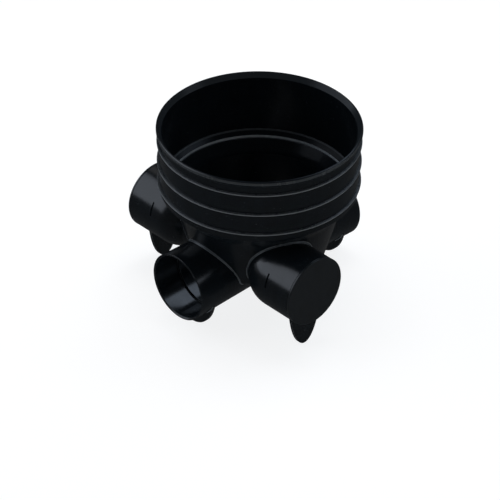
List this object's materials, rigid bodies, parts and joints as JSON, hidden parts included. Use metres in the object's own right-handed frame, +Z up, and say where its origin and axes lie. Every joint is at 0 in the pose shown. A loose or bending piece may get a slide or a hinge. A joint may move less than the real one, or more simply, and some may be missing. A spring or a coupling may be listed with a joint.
{
  "type": "drain inspection chamber",
  "caption": "Moulded plastic drain inspection chamber base with a ribbed riser collar, a straight run, raised side inlets with blanking caps, and bedding feet.",
  "frame": {"origin": "on the vertical axis of the riser collar, at the level that the feet stand on", "axes": "+X along the straight run towards the outlet socket, +Z up the riser's axis, side inlets towards +Y and -Y"},
  "size_m": [0.365, 0.3862, 0.316],
  "materials": {
    "black_pp": "satin moulded polypropylene, black",
    "cap_pp": "satin moulded polypropylene, black"
  },
  "bodies": {
    "root": {"chamber_base": "black_pp", "cap_left": "cap_pp", "cap_right": "cap_pp"}
  },
  "joints": []
}
